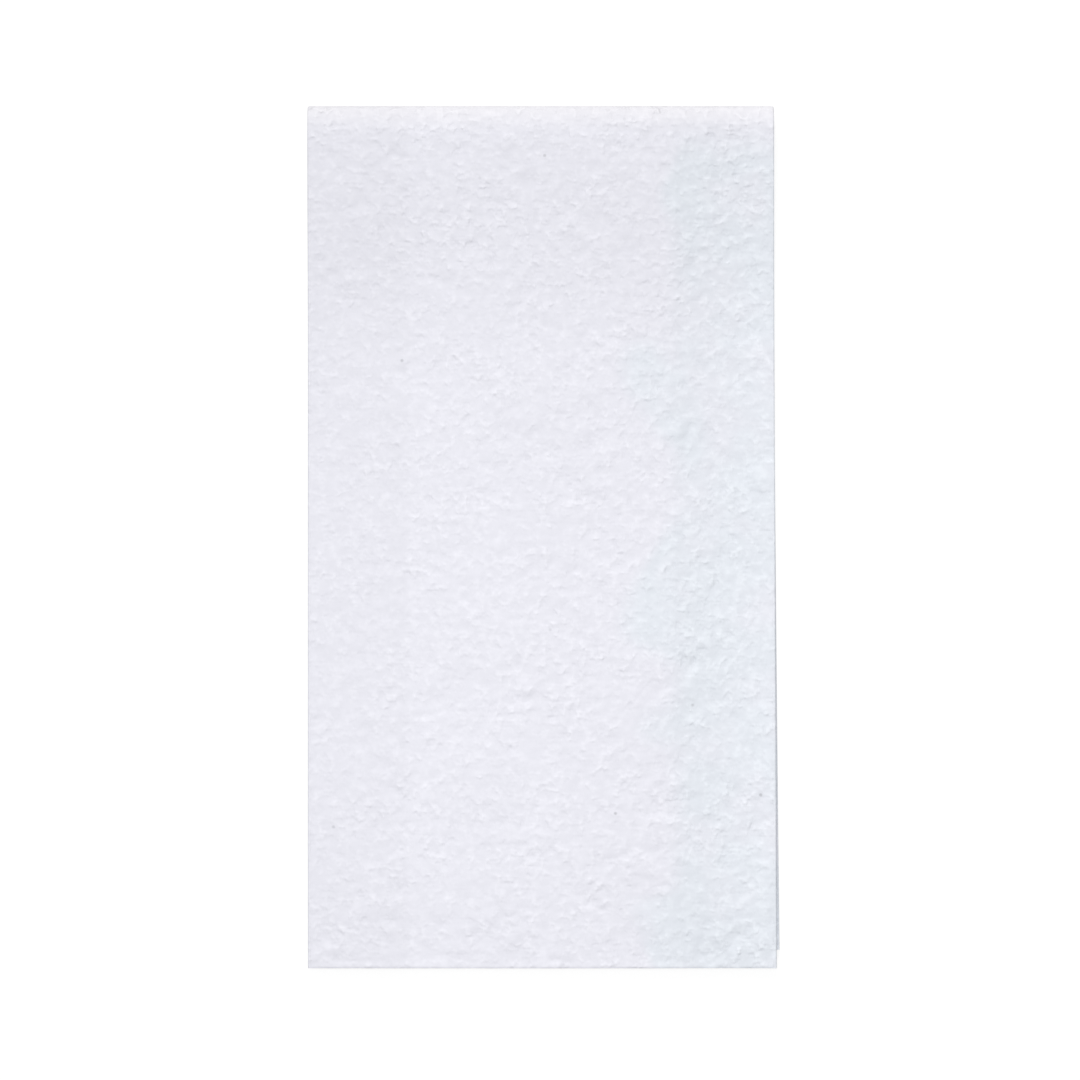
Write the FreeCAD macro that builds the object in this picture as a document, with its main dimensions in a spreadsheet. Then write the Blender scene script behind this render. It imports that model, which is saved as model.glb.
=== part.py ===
import FreeCAD, Part
import os
import Sketcher
from FreeCAD import Vector
from math import atan, pi, sin

# Disposable guest towel: one rectangle of airlaid paper. Its two sides are folded in over each
# other, the left flap first and the right flap over it, and the strip this makes is folded in
# half with both flaps inside. It lies flat: +Z is up, +Y points at the half fold, and the cut
# ends lie at -Y. The origin is on the surface the towel rests on, in the middle. Millimetres.

doc = FreeCAD.newDocument("guest_towel")

# Driving sizes ----------------------------------------------------------------------------

DRIVING = [
    ("sheet_width", "300", "flat sheet, across the three panels"),
    ("sheet_length", "430", "flat sheet, along the panels"),
    ("sheet_thick", "0.5", "one layer of airlaid paper"),
    ("layer_gap", "0.1", "air between two layers that lie on each other"),
    ("folded_width", "116.7", "from side fold to side fold"),
    ("climb_clearance", "0.5", "from the left flap's climb to the right flap's cut edge"),
    ("fold_bore", "2", "inside radius of the half fold, which springs open a little"),
    ("settle_run", "75", "from the half fold to where the front half lies flat"),
    ("front_overhang", "4.5", "the front half's cut end lies this far past the back half's"),
    ("back_skew", "1.2", "the back half's cut end has slipped sideways by this much"),
]

sizes = doc.addObject("Spreadsheet::Sheet", "sizes")
for row, (alias, number, meaning) in enumerate(DRIVING, start=1):
    sizes.set(f"A{row}", alias)
    sizes.set(f"B{row}", number)
    sizes.set(f"C{row}", meaning)
    sizes.setAlias(f"B{row}", alias)
doc.recompute()

# Sizes that follow from them, as formulas that the sketches are bound to.
# Both flaps are alike, and the middle line of the base panel keeps the flat sheet's length.
PITCH = "(sizes.sheet_thick + sizes.layer_gap)"
PANEL_THICK = "(3 * sizes.sheet_thick + 2 * sizes.layer_gap)"
LOOP_CENTRE = f"((sizes.folded_width - {PANEL_THICK}) / 2)"
LOOP_LENGTH = f"(pi * ({PANEL_THICK} - sizes.sheet_thick) / 2)"
FLAP = f"(sizes.sheet_width / 2 - {LOOP_CENTRE} - {LOOP_LENGTH})"
FOLD_RADIUS = f"(sizes.fold_bore + {PANEL_THICK})"
FOLD_LENGTH = f"(pi * ({FOLD_RADIUS} - sizes.sheet_thick / 2))"
FRONT_LENGTH = f"((sizes.sheet_length + sizes.front_overhang - {FOLD_LENGTH}) / 2)"
BACK_LENGTH = f"({FRONT_LENGTH} - sizes.front_overhang)"
FOLD_Y = f"(({FRONT_LENGTH} - {FOLD_RADIUS}) / 2)"
FRONT_END_Y = f"({FOLD_Y} - {FRONT_LENGTH})"
FRONT_FLOOR = f"({PANEL_THICK} + sizes.layer_gap)"


def value(formula):
    """The number that a formula gives, for the starting geometry of a sketch."""
    return float(sizes.evalExpression(formula))


# Sketch helpers ---------------------------------------------------------------------------

START, END, CENTRE = 1, 2, 3
SKETCH_ORIGIN = (-1, 1)


def attach(sketch, body, role):
    """Put a sketch on one of its own body's origin planes."""
    plane = next(item for item in body.Origin.OriginFeatures if item.Role == role)
    sketch.AttachmentSupport = [(plane, "")]
    sketch.MapMode = "FlatFace"


def line(start, end):
    """A straight edge."""
    return Part.LineSegment(start, end)


def arc(centre, radius, first, last):
    """An arc round a centre, counter-clockwise between two angles in radians."""
    return Part.ArcOfCircle(Part.Circle(centre, Vector(0, 0, 1), radius), first, last)


def hold(sketch, kind, *places):
    """Add a constraint without a size."""
    sketch.addConstraint(Sketcher.Constraint(kind, *places))


def join(sketch, kind, first, second):
    """Hold two edges together, Tangent or Coincident, at the ends where they meet."""
    def distance(ends):
        here = sketch.getPoint(first, ends[0])
        return here.distanceToPoint(sketch.getPoint(second, ends[1]))

    here, there = min([(a, b) for a in (START, END) for b in (START, END)], key=distance)
    hold(sketch, kind, first, here, second, there)


def bind(sketch, name, formula, kind, *places):
    """Add a named dimension and bind it to a formula of the driving sizes."""
    index = sketch.addConstraint(Sketcher.Constraint(kind, *places, value(formula)))
    sketch.renameConstraint(index, name)
    sketch.setExpression(f"Constraints.{name}", formula)


# The folded sheet -------------------------------------------------------------------------

def draw_section(sketch):
    """Draw the strip cut across, as it lies in the back half, with the base panel lowest.

    The axis of the half fold passes through the sketch's origin. Each face of the sheet runs
    from the right flap's cut edge round the right side fold, along the base, round the left
    side fold, in two equal arcs up onto the right flap, and level to the left flap's cut edge.
    """
    thick = value("sizes.sheet_thick")
    bore = value("sizes.fold_bore")
    pitch = value(PITCH)
    panel = value(PANEL_THICK)
    loop_x = value(LOOP_CENTRE)
    right_cut = loop_x - value(FLAP)
    left_cut = value(FLAP) - loop_x
    climb_end = right_cut - value("sizes.climb_clearance")
    climb_run = climb_end + loop_x
    climb_radius = (climb_run ** 2 + pitch ** 2) / (4 * pitch)
    climb_angle = 2 * atan(pitch / climb_run)

    def point(x, depth):
        """A place in the section, at a depth under the strip's inner face."""
        return Vector(x, -bore - depth, 0)

    def face(inset):
        """One face of the sheet: its outside at inset 0, its inside at the sheet's thickness."""
        crest = climb_radius + thick / 2 - inset
        trough = climb_radius - thick / 2 + inset
        level = pitch + inset
        return [
            line(point(right_cut, inset), point(loop_x, inset)),
            arc(point(loop_x, panel / 2), panel / 2 - inset, -pi / 2, pi / 2),
            line(point(loop_x, panel - inset), point(-loop_x, panel - inset)),
            arc(point(-loop_x, panel / 2), panel / 2 - inset, pi / 2, 3 * pi / 2),
            arc(point(-loop_x, inset + crest), crest, pi / 2 - climb_angle, pi / 2),
            arc(point(climb_end, level - trough), trough, 3 * pi / 2 - climb_angle, 3 * pi / 2),
            line(point(climb_end, level), point(left_cut, level)),
        ]

    outside = sketch.addGeometry(face(0), False)
    inside = sketch.addGeometry(face(thick), False)
    right_end, left_end = sketch.addGeometry([
        line(point(right_cut, 0), point(right_cut, thick)),
        line(point(left_cut, pitch), point(left_cut, pitch + thick)),
    ], False)

    for chain in (outside, inside):
        for first, second in zip(chain, chain[1:]):
            join(sketch, "Tangent", first, second)
        right_flap, right_fold, base, left_fold, crest, trough, left_flap = chain
        for flat in (right_flap, base, left_flap):
            hold(sketch, "Horizontal", flat)
        join(sketch, "Coincident", right_end, right_flap)
        join(sketch, "Coincident", left_end, left_flap)
    hold(sketch, "Vertical", right_end)
    hold(sketch, "Vertical", left_end)

    right_flap, right_fold, base, left_fold, crest, trough, left_flap = outside
    for outer, inner in zip(outside, inside):
        if outer in (right_fold, left_fold, crest, trough):
            hold(sketch, "Coincident", outer, CENTRE, inner, CENTRE)
    hold(sketch, "Equal", right_fold, left_fold)
    hold(sketch, "Vertical", left_fold, START, left_fold, CENTRE)
    hold(sketch, "Equal", trough, inside[outside.index(crest)])

    bind(sketch, "bore", "sizes.fold_bore", "DistanceY", right_flap, START, *SKETCH_ORIGIN)
    bind(sketch, "thick", "sizes.sheet_thick", "DistanceY", inside[0], START, right_flap, START)
    bind(sketch, "panel", PANEL_THICK, "DistanceY", base, START, right_flap, START)
    bind(sketch, "right_loop", LOOP_CENTRE, "DistanceX", *SKETCH_ORIGIN, right_fold, CENTRE)
    bind(sketch, "left_loop", LOOP_CENTRE, "DistanceX", left_fold, CENTRE, *SKETCH_ORIGIN)
    bind(sketch, "right_length", FLAP, "DistanceX", right_flap, START, right_fold, CENTRE)
    bind(sketch, "left_length", FLAP, "DistanceX", left_fold, CENTRE, left_flap, END)
    bind(sketch, "climb", PITCH, "DistanceY", left_flap, START, left_fold, START)
    bind(sketch, "climb_clearance", "sizes.climb_clearance",
         "DistanceX", left_flap, START, right_flap, START)


def draw_path(sketch):
    """Draw the way the strip's inner face runs over the half fold and down the front half.

    It makes a little more than half a turn, then sinks in one long shallow arc to where the
    front half lies on the back half, and from there it is straight to the cut end.
    """
    bore = value("sizes.fold_bore")
    run = value("sizes.settle_run")
    drop = 2 * bore - value("sizes.layer_gap")
    settle_angle = 2 * atan(drop / run)
    settle_radius = run / sin(settle_angle) - bore
    fold_axis = Vector(value(FOLD_Y), value(FOLD_RADIUS), 0)
    flat_start = Vector(fold_axis.x - run, value(FRONT_FLOOR), 0)
    flat_end = Vector(value(FRONT_END_Y), flat_start.y, 0)
    settle_centre = flat_start + Vector(0, settle_radius, 0)

    turn, settle, flat = sketch.addGeometry([
        arc(fold_axis, bore, -pi / 2, pi / 2 + settle_angle),
        arc(settle_centre, settle_radius, 3 * pi / 2, 3 * pi / 2 + settle_angle),
        line(flat_start, flat_end),
    ], False)
    join(sketch, "Tangent", turn, settle)
    join(sketch, "Tangent", settle, flat)
    hold(sketch, "Horizontal", flat)
    hold(sketch, "Vertical", turn, START, turn, CENTRE)

    bind(sketch, "bore", "sizes.fold_bore", "Radius", turn)
    bind(sketch, "fold_y", FOLD_Y, "DistanceX", *SKETCH_ORIGIN, turn, CENTRE)
    bind(sketch, "fold_height", FOLD_RADIUS, "DistanceY", *SKETCH_ORIGIN, turn, CENTRE)
    bind(sketch, "settle_run", "sizes.settle_run", "DistanceX", flat, START, turn, CENTRE)
    bind(sketch, "front_floor", FRONT_FLOOR, "DistanceY", *SKETCH_ORIGIN, flat, START)
    bind(sketch, "front_end", f"-{FRONT_END_Y}", "DistanceX", flat, END, *SKETCH_ORIGIN)


def make_towel():
    """Carry the strip's section along the back half, round the half fold and to the front end."""
    body = doc.addObject("PartDesign::Body", "guest_towel")
    body.Label = "guest_towel"

    section = body.newObject("Sketcher::SketchObject", "strip_section")
    attach(section, body, "XZ_Plane")
    section.setExpression("AttachmentOffset.Base.x", "-sizes.back_skew / 2")
    section.setExpression("AttachmentOffset.Base.y", FOLD_RADIUS)
    section.setExpression("AttachmentOffset.Base.z", f"-{FOLD_Y}")
    draw_section(section)

    path = body.newObject("Sketcher::SketchObject", "fold_path")
    attach(path, body, "YZ_Plane")
    draw_path(path)
    doc.recompute()

    back = body.newObject("PartDesign::Pad", "back_half")
    back.Profile = section
    back.UseCustomVector = True
    back.AlongSketchNormal = True
    back.Direction = Vector(0, -1, 0)
    back.setExpression("Direction.x", f"sizes.back_skew / {BACK_LENGTH}")
    back.setExpression("Length", BACK_LENGTH)
    doc.recompute()

    front = body.newObject("PartDesign::AdditivePipe", "fold_and_front_half")
    front.Profile = section
    front.Spine = path
    body.Tip = front
    doc.recompute()
    return body


# Build, check and write -------------------------------------------------------------------

towel = make_towel()

for item in doc.Objects:
    if "Invalid" in item.State or "Error" in item.State:
        raise RuntimeError(f"{item.Name} could not be built")
if towel.Shape.isNull() or not towel.Shape.isValid() or len(towel.Shape.Solids) != 1:
    raise RuntimeError(f"{towel.Label} isn't one valid solid")

os.makedirs("parts", exist_ok=True)
towel.Shape.exportStep(f"parts/{towel.Label}.step")
print(f"{towel.Label}: {len(towel.Shape.Faces)} faces, {towel.Shape.Volume:.1f} mm3")
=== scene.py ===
from math import pi, radians, sqrt

import bpy
import numpy as np
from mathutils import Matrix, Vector


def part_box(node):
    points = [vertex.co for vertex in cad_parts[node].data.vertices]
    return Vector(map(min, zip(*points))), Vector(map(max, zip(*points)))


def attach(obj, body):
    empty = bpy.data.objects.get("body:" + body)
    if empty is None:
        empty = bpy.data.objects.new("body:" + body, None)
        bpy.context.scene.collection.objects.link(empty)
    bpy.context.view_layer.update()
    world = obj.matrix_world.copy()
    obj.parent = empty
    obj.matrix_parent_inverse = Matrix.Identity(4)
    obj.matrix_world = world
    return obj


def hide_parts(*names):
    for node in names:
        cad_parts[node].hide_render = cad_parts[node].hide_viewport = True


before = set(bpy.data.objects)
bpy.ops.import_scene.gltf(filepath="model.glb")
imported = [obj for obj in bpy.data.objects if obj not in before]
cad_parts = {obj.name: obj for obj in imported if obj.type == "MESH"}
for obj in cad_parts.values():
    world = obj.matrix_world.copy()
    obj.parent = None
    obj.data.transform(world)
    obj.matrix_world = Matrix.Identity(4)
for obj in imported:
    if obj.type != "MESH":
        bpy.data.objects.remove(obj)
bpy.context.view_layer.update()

# The towel ------------------------------------------------------------------------------------
# One sheet of airlaid paper. Its left side is folded in first and its right side over it, and the
# strip is then folded in half with the flaps inside. Nothing fastens it: the stack is only pressed,
# so the half fold springs open and the front half comes to rest on the back half further down.

MM = 0.001
FLAT = (300 * MM, 430 * MM)
THICK = 0.5 * MM             # of the paper
GAP = 0.1 * MM               # between two layers
OVERHANG = 4.38 * MM         # of the front half's cut end over the back half's
WIDTH = 116.55 * MM          # between the outlines of the side folds
SKEW = 1.57 * MM             # how far the back half's cut end lies to the right
SKEW_POWER = 1.45            # 1 if the back half only turned, more if it bent near its cut end
SETTLE = 60 * MM             # from the half fold to where the halves meet
STRAIGHT = 0.35              # share of it that the front half slopes down evenly
PRESSED = 0.55               # 1 for round side folds, less for squarer ones

low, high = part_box("guest_towel")
PITCH = THICK + GAP
PANEL = 3 * THICK + 2 * GAP  # one half of the towel, three layers thick
LOOP_X = (WIDTH - PANEL) / 2
MIDDLE = low.x + WIDTH / 2
FLAP = FLAT[0] / 2 - LOOP_X - pi * (PANEL - THICK) / 2
FLAP_END = FLAP - LOOP_X     # how far a flap reaches past the middle

# The mesh's cells across a flap, a side fold and the base panel, and along the back half, the half
# fold and the front half.
FLAP_CELLS = 22
LOOP_CELLS = 10
BASE_CELLS = 33
BACK_CELLS = 24
TURN_CELLS = 20
FRONT_CELLS = 54
FINER = 6                    # cells of the front's outer face in each of the other faces' cells


def across(inset):
    """The folded strip's section: one face of the sheet, from the right flap's cut edge round.

    inset is 0 for the face that ends up outside and THICK for the other one. The side folds are
    half circles, pressed squarer: their sine and cosine are raised to the power PRESSED. The
    left flap leaves its fold one pitch inside its level in the stack, and moves out to it along
    half a cosine wave, up to the right flap's cut edge.
    Returns x, and the depth, which is the distance out from the strip's inner face.
    """
    radius = PANEL / 2 - inset
    turn = np.linspace(0, pi, LOOP_CELLS + 1)[1:-1]
    aside = radius * np.sin(turn) ** PRESSED
    rounded = radius * np.sign(np.cos(turn)) * np.abs(np.cos(turn)) ** PRESSED
    right = np.linspace(-FLAP_END, LOOP_X, FLAP_CELLS + 1)
    base = np.linspace(LOOP_X, -LOOP_X, BASE_CELLS + 1)
    left = -right[::-1]
    climb = np.clip((left + LOOP_X) / (LOOP_X - FLAP_END), 0, 1)
    x = [right, LOOP_X + aside, base, -LOOP_X - aside, left]
    depth = [np.full(right.shape, inset), PANEL / 2 - rounded,
             np.full(base.shape, PANEL - inset), PANEL / 2 + rounded,
             inset + PITCH * (1 - np.cos(pi * climb)) / 2]
    return np.concatenate(x), np.concatenate(depth)


CREASE = 10                  # half the length of the half fold, as a multiple of its crease
BORE = high.z - low.z - 2 * PANEL          # the height inside the half fold
DROP = BORE - GAP            # of the front half, on its way down to the back half
LEAN = 2 * DROP / (1 + STRAIGHT) / SETTLE  # slope of the front half where it leaves the fold


def turning(share):
    """The heading at a share of the way round the half fold, from 0 to pi and LEAN.

    It is an arctangent, so it turns sharply in the middle and ever less towards both ends.
    """
    return (pi + LEAN) * (1 + np.arctan(CREASE * (2 * share - 1)) / np.arctan(CREASE)) / 2


# The fold's length follows from its height, which is the sum of the heading's sine up to where it
# is level again. How far it bulges is the sum of the cosine up to where it is upright.
shares = np.linspace(0, 1, 4001)
bend = turning(shares)
TURN = BORE / np.mean(np.sin(bend) * (bend < pi))
BULGE = TURN * np.mean(np.cos(bend) * (bend < pi / 2)) + PANEL
LENGTH = high.y - low.y
BACK = LENGTH - BULGE - OVERHANG


def rise(value, first, last):
    """0 up to first, 1 from last on, and the smooth step 3t^2 - 2t^3 between them."""
    t = np.clip((value - first) / (last - first), 0, 1)
    return t * t * (3 - 2 * t)


def along(s):
    """Where the strip's inner face runs, at the distance s from the start of the half fold.

    It heads along +Y on the back half, turns by pi and LEAN over the half fold, keeps that
    slope for a while and then comes back to pi in a smooth step. y and z are the running sums of
    the heading's cosine and sine over 60,000 short steps. Returns y, z and the heading.
    """
    path = np.linspace(-BACK, TURN + LENGTH, 60001)
    heading = turning(np.clip(path / TURN, 0, 1))
    heading -= LEAN * rise(path, TURN + STRAIGHT * SETTLE, TURN + SETTLE)
    step = path[1] - path[0]
    y = low.y + OVERHANG + np.cumsum(np.cos(heading)) * step
    z = low.z + PANEL + np.cumsum(np.sin(heading)) * step
    return [np.interp(s, path, values) for values in (y, z, heading)]


def ripples(s, x, lengths, seed, count=800, wide=1.0):
    """Random relief on a grid of s by x: a sum of plane waves with seeded random phases.

    The wavelengths are spread evenly in their logarithm between the two lengths, and the waves
    run in all directions, but wide times as long across the strip. The height of each is in
    proportion to its length, so that all are equally steep. The sum's steepness has a root mean
    square of 1, so its height is a length too.
    """
    chance = np.random.default_rng(seed)
    number = 2 * pi / np.exp(chance.uniform(*np.log(lengths), count))
    angle = chance.uniform(0, 2 * pi, count)
    phase = chance.uniform(0, 2 * pi, count)
    rows = np.exp(1j * (np.outer(s, number * np.cos(angle)) + phase)) / number
    columns = np.exp(1j * np.outer(x, number * np.sin(angle) / wide))
    return (rows @ columns.T).real * sqrt(2 / count)


LOOSE = 10 * MM              # past the half fold, where the front half has come free
WAVES = 0.012                # steepness of its long soft waves
WAVE_LENGTHS = (25 * MM, 70 * MM)
SAG = 0.45 * MM              # of the base panel, where it bridges the right side band
LEFT_SAG = 0.4               # share of that in the left one
LIFT = 0.3 * MM              # of the front half off the back half
PAST = 0.2 * MM              # how far the loose cut end reaches beyond the source's
DROOP = 0.5 * MM             # of the overhanging cut end
DROOPING = 30 * MM           # length that droops
SPREAD = 0.85 * MM           # how much wider the front half's cut end is than its fold

# The front half's cut end is where its y has come down to the source's cut end, and PAST it.
front = np.linspace(TURN, TURN + LENGTH, 5001)
FRONT_END = np.interp(-low.y + PAST, -along(front)[0], front)


def place(s, x, depth, is_base, relief=0):
    """The corners of one face of the sheet on a grid of s by x: the section carried along.

    A corner lies its depth outside the strip's inner face. On the front half the panel also
    waves, its base sags between the folds and the flaps' cut edges along a parabola, and the cut
    end droops along another. Towards the cut ends the back half lies ever further to the right,
    and the front half's right side spreads evenly.
    """
    y, z, heading = [value[:, None] for value in along(s)]
    free = rise(s, TURN / 2, TURN + LOOSE)[:, None]
    waves = ripples(s, x, WAVE_LENGTHS, seed=11, count=60)
    bridge = np.clip((np.abs(x) - FLAP_END) / (LOOP_X - FLAP_END), 0, 1)
    side = np.where(x > 0, 1, LEFT_SAG)
    sag = SAG * 4 * bridge * (1 - bridge) * side * is_base
    droop = DROOP * np.clip((s - FRONT_END) / DROOPING + 1, 0, 1)[:, None] ** 2
    out = depth - sag * free + relief
    height = free * (WAVES * waves + LIFT - droop)
    back = np.clip(-s / BACK, 0, 1)[:, None]
    ahead = np.clip((s - TURN) / (FRONT_END - TURN), 0, 1)[:, None]
    sideways = MIDDLE + SKEW * back ** SKEW_POWER + SPREAD * ahead * (x > 0)
    return np.stack(np.broadcast_arrays(
        x + sideways, y + out * np.sin(heading), z - out * np.cos(heading) + height), axis=-1)


RELIEF = 0.059               # steepness of the paper's relief
BUMPS = (1.8 * MM, 12 * MM)  # lengths of its bumps
CREASES = (3 * MM, 8 * MM)   # lengths of its creases
CREASED = 0.8                # steepness of the creases, as a share of the bumps'
PATCHES = (14 * MM, 30 * MM)               # lengths of the patches where it is stronger
PATCH_SCALE = 18 * MM        # the more, the less the patches differ
SIDES = (20 * MM, 45 * MM)   # from the middle, where the paper changes towards each side
RIGHT_GAIN = 0.25            # share by which the relief is stronger on the right
LEFT_LOSS = 0.15             # and weaker on the left
ONSET = 1 * MM               # past the half fold's middle, over which it sets in
RIDGE = 0.12 * MM            # that the cutter raised beside the cut
RIDGE_WIDTH = 1.5 * MM       # over which it rises
SQUEEZED = 0.11 * MM         # how far the cutter pressed the cut edge down
CUT_WIDTH = 0.45 * MM        # of the paper that it pressed down
CUT_START = FRONT_END - CUT_WIDTH - RIDGE_WIDTH


def pebbles(s, x):
    """The paper's relief: bumps, less the absolute value of other ripples, which has creases.

    It is stronger in some patches than in others, by the exponential of slower ripples, and
    stronger towards the right side and weaker towards the left.
    """
    bumps = ripples(s, x, BUMPS, seed=3, count=2000, wide=0.9)
    creased = np.abs(ripples(s, x, CREASES, seed=4, wide=1.1))
    patches = np.exp(ripples(s, x, PATCHES, seed=5, count=60) / PATCH_SCALE)
    sides = 1 + RIGHT_GAIN * rise(x, *SIDES) - LEFT_LOSS * rise(-x, *SIDES)
    return RELIEF * patches * sides * (bumps - CREASED * creased)


def cut_edge(s):
    """How far out the cutter left the outer face.

    It is a ridge with a smooth step up to it, and a drop along a parabola at the cut.
    """
    pressed = np.clip((s - FRONT_END) / CUT_WIDTH + 1, 0, 1)
    return (RIDGE * rise(s, CUT_START, FRONT_END - CUT_WIDTH) - SQUEEZED * pressed ** 2)[:, None]


# The rows of corners along the strip. In the half fold they are spaced half by length and half by
# turning. From its middle on, the outer face of the base has finer rows, closer at the cut.
even = (shares + bend / bend[-1]) / 2
rows = np.concatenate([
    np.linspace(-BACK, 0, BACK_CELLS + 1)[:-1],
    TURN * np.interp(np.linspace(0, 1, TURN_CELLS + 1), even, shares)[:-1],
    np.linspace(TURN, CUT_START, FRONT_CELLS + 1), [FRONT_END]])
crest = BACK_CELLS + TURN_CELLS // 2       # the row at the middle of the half fold
fine_rows = np.concatenate([
    TURN * np.interp(np.linspace(0.5, 1, TURN_CELLS // 2 * FINER + 1), even, shares)[:-1],
    np.linspace(TURN, CUT_START, FRONT_CELLS * FINER + 1),
    FRONT_END - (FRONT_END - CUT_START) * np.linspace(1, 0, FINER + 1)[1:] ** 1.5])

# The columns across it. The base panel's run from base_start to base_end.
x_out, depth_out = across(0)
x_in, depth_in = across(THICK)
columns = len(x_out)
base_start = FLAP_CELLS + LOOP_CELLS
base_end = base_start + BASE_CELLS
numbers = np.arange(columns)
is_base = ((numbers >= base_start) & (numbers <= base_end)).astype(float)
fine_x = np.linspace(LOOP_X, -LOOP_X, BASE_CELLS * FINER + 1)

relief = pebbles(fine_rows, fine_x) * rise(fine_rows, rows[crest], rows[crest] + ONSET)[:, None]
relief += cut_edge(fine_rows)
upper = np.clip(2 * depth_out / PANEL - 1, 0, 1)

outside = place(rows, x_out, depth_out, is_base, cut_edge(rows) * upper)
inside = place(rows, x_in, depth_in, is_base)
detail = place(fine_rows, fine_x, PANEL, 1, relief)


def grid(corners):
    """The quads of a grid of corner numbers.

    They face the viewer if the rows run down and the columns run to the right.
    """
    quads = [corners[:-1, :-1], corners[:-1, 1:], corners[1:, 1:], corners[1:, :-1]]
    return np.stack(quads, axis=-1).reshape(-1, 4)


def ribbon(coarse, fine):
    """The faces between a line of corners and one that has several corners to each of its cells."""
    each = (len(fine) - 1) // (len(coarse) - 1)
    windows = np.lib.stride_tricks.sliding_window_view(fine, each + 1)[::each, ::-1]
    return np.column_stack([coarse[:-1], coarse[1:], windows])


# The corners' numbers. In the fine part of the outer face, one row and column in every FINER takes
# the place of a coarse one.
coarse_count = len(rows) * columns
fine_count = len(fine_rows) * len(fine_x)
outer = np.arange(coarse_count).reshape(len(rows), columns)
inner = outer + coarse_count
fine = (2 * coarse_count + np.arange(fine_count)).reshape(len(fine_rows), len(fine_x))
outer[crest:, base_start:base_end + 1] = fine[::FINER, ::FINER]

# The outer face, with ribbons round its fine part, then the inner face, and last the sheet's edge:
# the back half's cut end, the front half's, and the cut edges of both flaps.
faces = [
    grid(outer[:, :base_start]),
    grid(outer[:, base_end + 1:]),
    grid(outer[:crest, base_start - 1:base_end + 2]),
    grid(outer[crest - 1:crest + 1, base_start - 1:base_start + 1]),
    grid(outer[crest - 1:crest + 1, base_end:base_end + 2]),
    ribbon(outer[crest - 1, base_start:base_end + 1], fine[0]),
    ribbon(outer[crest:, base_start - 1], fine[:, 0])[:, ::-1],
    ribbon(outer[crest:, base_end + 1], fine[:, -1]),
    grid(fine),
    grid(inner)[:, ::-1],
    grid(np.stack([inner[0], outer[0]])),
    grid(np.stack([outer[-1, :base_start + 1], inner[-1, :base_start + 1]])),
    ribbon(inner[-1, base_start:base_end + 1], fine[-1])[:, ::-1],
    grid(np.stack([outer[-1, base_end:], inner[-1, base_end:]])),
    grid(np.stack([inner[:, 0], outer[:, 0]], axis=1)),
    grid(np.stack([outer[:, -1], inner[:, -1]], axis=1)),
]
corners = np.concatenate([group.ravel() for group in faces])
sizes = np.concatenate([np.full(len(group), group.shape[1]) for group in faces])
used, corners = np.unique(corners, return_inverse=True)
points = np.concatenate([face.reshape(-1, 3) for face in (outside, inside, detail)])[used]

mesh = bpy.data.meshes.new("towel_sheet")
mesh.vertices.add(len(points))
mesh.vertices.foreach_set("co", points.ravel())
mesh.loops.add(len(corners))
mesh.loops.foreach_set("vertex_index", corners.ravel())
mesh.polygons.add(len(sizes))
mesh.polygons.foreach_set("loop_start", np.concatenate([[0], np.cumsum(sizes)[:-1]]))
mesh.update(calc_edges=True)
mesh.validate()
mesh.shade_smooth()
mesh.set_sharp_from_angle(angle=radians(50))

# Two marks for the material: the side bands, where the front's base has no flap behind it and the
# paper gets painted shade and painted light, and the corners that the mesh gives no relief.
band = rise(np.abs(points[:, 0] - MIDDLE), FLAP_END - 1 * MM, FLAP_END + 1 * MM)
mesh.attributes.new("side_band", "FLOAT", "POINT").data.foreach_set("value", band)
plain = (used < 2 * coarse_count).astype(float)
mesh.attributes.new("no_relief", "FLOAT", "POINT").data.foreach_set("value", plain)

towel = bpy.data.objects.new("towel_sheet", mesh)
bpy.context.scene.collection.objects.link(towel)


class Value:
    """A number that comes out of a socket, to calculate with in expressions."""

    def __init__(self, nodes, socket):
        self.nodes = nodes
        self.socket = socket

    def math(self, operation, *numbers):
        """What a Math node makes of some numbers."""
        sockets = dict(enumerate(numbers))
        return self.nodes.value("ShaderNodeMath", {"operation": operation}, sockets)

    def __or__(self, other):
        return self.math("MAXIMUM", self, other)

    __ror__ = __or__

    def __add__(self, other):
        return self.math("ADD", self, other)

    __radd__ = __add__

    def __sub__(self, other):
        return self.math("SUBTRACT", self, other)

    def __rsub__(self, other):
        return self.math("SUBTRACT", other, self)

    def __mul__(self, other):
        return self.math("MULTIPLY", self, other)

    __rmul__ = __mul__

    def rise(self, start, end):
        """0 up to start, 1 from end on, and a smooth step between them."""
        return self.nodes.value("ShaderNodeMapRange", {"interpolation_type": "SMOOTHSTEP"},
                                {"Value": self, "From Min": start, "From Max": end})


class Nodes:
    """The nodes of one material or world."""

    def __init__(self, owner):
        owner.use_nodes = True
        self.tree = owner.node_tree
        self.tree.nodes.clear()

    def add(self, kind, settings=None, sockets=None):
        """Adds a node, with its settings first and then the values or links of its sockets."""
        node = self.tree.nodes.new(kind)
        for name, setting in (settings or {}).items():
            setattr(node, name, setting)
        for name, given in (sockets or {}).items():
            given = given.socket if isinstance(given, Value) else given
            if isinstance(given, bpy.types.NodeSocket):
                self.tree.links.new(given, node.inputs[name])
            else:
                node.inputs[name].default_value = given
        return node

    def value(self, kind, settings=None, sockets=None, output=0):
        """Adds a node and gives one of its outputs, as a number to calculate with."""
        return Value(self, self.add(kind, settings, sockets).outputs[output])


paper = bpy.data.materials.new("airlaid_paper")
nodes = Nodes(paper)
where = nodes.add("ShaderNodeTexCoord").outputs["Object"]
axes = nodes.add("ShaderNodeSeparateXYZ", None, {0: where}).outputs
across_x = Value(nodes, axes["X"])
along_y = Value(nodes, axes["Y"])
side_band = nodes.value("ShaderNodeAttribute", {"attribute_name": "side_band"}, output="Fac")
no_relief = nodes.value("ShaderNodeAttribute", {"attribute_name": "no_relief"}, output="Fac")
on_right = across_x.rise(*SIDES)
on_left = (across_x * -1).rise(*SIDES)


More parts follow.
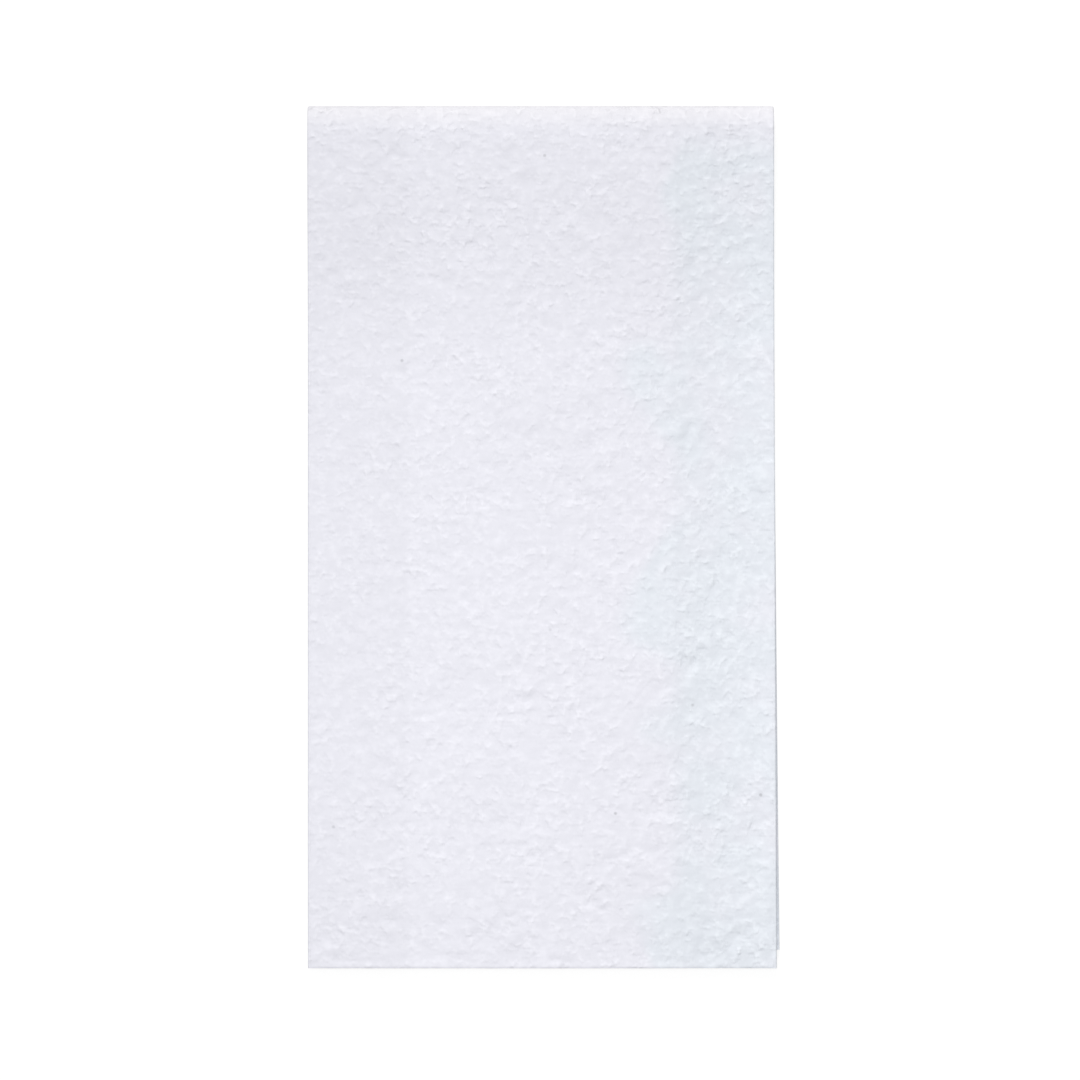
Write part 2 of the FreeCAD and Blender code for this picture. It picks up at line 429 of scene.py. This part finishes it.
def noise(size, stretch=1.0, detail=1.0):
    """Cloudy noise between 0 and 1, with clouds of about size, and stretch times that across."""
    stretched = nodes.add("ShaderNodeMapping", {"vector_type": "TEXTURE"},
                          {"Vector": where, "Scale": (stretch, 1, 1)})
    return nodes.value("ShaderNodeTexNoise", {"noise_dimensions": "3D"},
                       {"Vector": stretched.outputs[0], "Scale": 1 / size, "Detail": detail})


# The finest relief: fibres, clumps of them that stand up, and faint streaks across the sheet. It is
# stronger in some spots and areas, on the right, and beside the half fold, where the paper was
# roughened. Where the mesh has no relief, broad bumps stand in for it.
FIBRE_HEIGHT = 0.235 * MM
CLUMP_HEIGHT = 0.1 * MM
STREAK_HEIGHT = 0.085 * MM
BROAD_HEIGHT = 0.16 * MM
ROUGHENED = (93 * MM, 109 * MM)            # along Y, beside the half fold

spots = noise(2.4 * MM, stretch=1.2).rise(0.35, 0.65) * 1.3 + 0.35
areas = noise(12 * MM, stretch=1.2).rise(0.3, 0.7) * 0.5 + 0.75
near_fold = along_y.rise(*ROUGHENED) * (on_right * 0.35 + 0.85)
strength = spots * areas * (on_right * 0.14 - on_left * 0.13 + near_fold + 0.92)
fibres = (noise(1.95 * MM, stretch=0.8) - 0.5) * strength
clumps = noise(2.2 * MM, stretch=0.9).rise(0.4, 0.9)
streaks = (noise(1.3 * MM, stretch=6) - 0.5) * strength
broad = noise(3.2 * MM, detail=2) * no_relief
height = (broad * BROAD_HEIGHT + fibres * FIBRE_HEIGHT
          + clumps * strength * CLUMP_HEIGHT + streaks * STREAK_HEIGHT)
bump = nodes.add("ShaderNodeBump", None, {"Strength": 1.0, "Distance": 1.0, "Height": height})


def mixed(factor, first, second):
    """A colour between two colours, by a factor between 0 and 1."""
    sockets = {0: factor, 6: first, 7: second}
    return nodes.add("ShaderNodeMix", {"data_type": "RGBA"}, sockets).outputs[2]


def tinted(first, second):
    """The product of two colours."""
    settings = {"data_type": "RGBA", "blend_type": "MULTIPLY"}
    return nodes.add("ShaderNodeMix", settings, {0: 1.0, 6: first, 7: second}).outputs[2]


def grey(level):
    """A colour with the same level of red, green and blue."""
    return (level, level, level, 1)


# The paper's colour: bluish white, with painted light on raised fibres and clumps and painted shade
# in the hollows between them, cooler on the right up to a bulging border, with painted warm light
# on the half fold's crest, and with painted shade over the side bands and painted light towards the
# right fold.
WHITE = grey(1)
# The paper in the painted shade of its hollows, and in painted light on its raised fibres.
SHADED_PAPER = (0.842, 0.844, 0.920, 1)
LIT_PAPER = (0.904, 0.906, 0.982, 1)
COOL = (0.957, 0.998, 0.988, 1)
# Painted warm light on the crest, which faces the warm lamp beyond the half fold.
PAINTED_WARM_LIGHT = (1, 0.99, 0.969, 1)
BORDER = (29 * MM, 38 * MM)                # along X, where the paper turns cooler
BULGING = 14 * MM                          # how far that border bulges towards the middle
COOL_END = (92 * MM, 106 * MM)             # along Y, where it stops being so at the half fold
CREST_LIGHT = (100.5 * MM, 108 * MM)             # along Y, where painted warm light lies on the crest

# Painted light and shade: lighter where the relief's fibres and clumps stand up, darker in its
# hollows.
relief_light_and_shade = (fibres * 0.8 + clumps * (on_right * 0.25 + 0.4) + 0.4).rise(0.25, 0.9)
bulge = noise(40 * MM).rise(0.45, 0.65) * BULGING
cloudy = noise(16 * MM, detail=2).rise(0.3, 0.6) * 0.6 + 0.4
cool = (across_x + bulge).rise(*BORDER) * cloudy * (1 - along_y.rise(*COOL_END))
# Painted warm light on the crest, which faces the lamp beyond the half fold.
crest_painted_light = along_y.rise(*CREST_LIGHT)
# Painted shade over the side bands, and painted light towards the right fold.
right_fold_painted_light = mixed(across_x.rise(40 * MM, 57 * MM), grey(0.997), grey(1.018))
side_painted_shade_and_light = mixed(side_band, WHITE, mixed(on_right, grey(0.979), right_fold_painted_light))
colour = tinted(mixed(relief_light_and_shade, SHADED_PAPER, LIT_PAPER), mixed(cool, WHITE, COOL))
colour = tinted(tinted(colour, side_painted_shade_and_light), mixed(crest_painted_light, WHITE, PAINTED_WARM_LIGHT))

# Rare dark specks in the pulp: one in the middle of a cell, in the few cells with a low chance.
SPECK = (0.42, 0.43, 0.46, 1)
SPECK_SPACING = 18 * MM
cells = nodes.add("ShaderNodeTexVoronoi", {"voronoi_dimensions": "2D"},
                  {"Vector": where, "Scale": 1 / SPECK_SPACING})
distance = Value(nodes, cells.outputs["Distance"]) * SPECK_SPACING
chance = nodes.value("ShaderNodeSeparateColor", None, {0: cells.outputs["Color"]})
dark = (1 - distance.rise(0.15 * MM, 0.6 * MM)) * (1 - chance.rise(0.02, 0.18)) * 0.5

shader = nodes.add("ShaderNodeBsdfPrincipled", None, {
    "Base Color": mixed(dark, colour, SPECK), "Roughness": 0.92, "Specular IOR Level": 0.25,
    "Normal": bump.outputs[0]})
nodes.add("ShaderNodeOutputMaterial", None, {"Surface": shader.outputs[0]})
mesh.materials.append(paper)

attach(towel, "root")
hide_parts("guest_towel")

# The table ------------------------------------------------------------------------------------
# A plain pale table top, which the towel lies on. It looks white, and sends less light back to the
# towel's edges.

HALF = 1.5                   # half the table's side
table_mesh = bpy.data.meshes.new("table")
table_corners = [(-HALF, -HALF, 0), (HALF, -HALF, 0), (HALF, HALF, 0), (-HALF, HALF, 0)]
table_mesh.from_pydata(table_corners, [], [(0, 1, 2, 3)])
table = bpy.data.objects.new("table", table_mesh)
bpy.context.scene.collection.objects.link(table)

MATT = 0.63                  # its level of grey, which lights the towel's edges
BRIGHT = 0.24                # and that which the camera sees, with a glow added
GLOW = 0.84
table_top = bpy.data.materials.new("pale_table")
nodes = Nodes(table_top)
ray = nodes.add("ShaderNodeLightPath").outputs
seen = Value(nodes, ray["Is Camera Ray"]) | ray["Is Glossy Ray"] | ray["Is Transmission Ray"]
matt = nodes.add("ShaderNodeBsdfDiffuse", None, {"Color": grey(MATT)})
bright = nodes.add("ShaderNodeBsdfDiffuse", None, {"Color": grey(BRIGHT)})
glow = nodes.add("ShaderNodeEmission", None, {"Color": WHITE, "Strength": GLOW})
white = nodes.add("ShaderNodeAddShader", None, {0: bright.outputs[0], 1: glow.outputs[0]})
either = nodes.add("ShaderNodeMixShader", None, {0: seen, 1: matt.outputs[0], 2: white.outputs[0]})
nodes.add("ShaderNodeOutputMaterial", None, {"Surface": either.outputs[0]})
table_mesh.materials.append(table_top)

# The light ------------------------------------------------------------------------------------
# A bright room all round, a soft lamp beyond the half fold to its left, and one over the towel.

SKY = 0.476                  # light of the room, which the camera sees as white
world = bpy.data.worlds.new("room")
bpy.context.scene.world = world
nodes = Nodes(world)
seen = Value(nodes, nodes.add("ShaderNodeLightPath").outputs["Is Camera Ray"])
room = nodes.add("ShaderNodeBackground", None, {"Color": WHITE, "Strength": seen * (1 - SKY) + SKY})
nodes.add("ShaderNodeOutputWorld", None, {"Surface": room.outputs[0]})


def lamp(name, position, aim, size, share, colour):
    """A square soft lamp, aimed at a point.

    It gives a level white surface there that share of the light at which a colour looks as it is
    written: the power is share times pi squared times the distance squared, over the slant.
    """
    data = bpy.data.lights.new(name, "AREA")
    data.shape = "SQUARE"
    data.size = size
    data.color = colour
    ray = Vector(position) - Vector(aim)
    data.energy = share * pi ** 2 * ray.length ** 3 / ray.z
    light = bpy.data.objects.new(name, data)
    light.location = position
    light.rotation_euler = ray.to_track_quat("Z", "Y").to_euler()
    light.visible_camera = False
    bpy.context.scene.collection.objects.link(light)


lamp("window", position=(-0.12, 1.50, 1.25), aim=(0, 0, 0),
     size=0.5, share=0.30, colour=(1.0, 0.99, 0.96))
lamp("overhead", position=(-0.035, -0.078, 0.35), aim=(-0.035, -0.078, 0),
     size=0.15, share=0.25, colour=(1.0, 1.0, 1.0))

# The camera -----------------------------------------------------------------------------------
# It looks straight down at the front half, with the half fold at the top.

LENS = 200
SENSOR = 36
AIM = (-0.85 * MM, -0.75 * MM, 3.5 * MM)
VIEW = 270.2 * MM            # how wide the camera sees at that height
camera_data = bpy.data.cameras.new("camera")
camera_data.lens = LENS
camera_data.sensor_width = SENSOR
camera = bpy.data.objects.new("camera", camera_data)
camera.location = (AIM[0], AIM[1], AIM[2] + VIEW * LENS / SENSOR)
bpy.context.scene.collection.objects.link(camera)
bpy.context.scene.camera = camera
bpy.context.scene.view_settings.view_transform = "Standard"
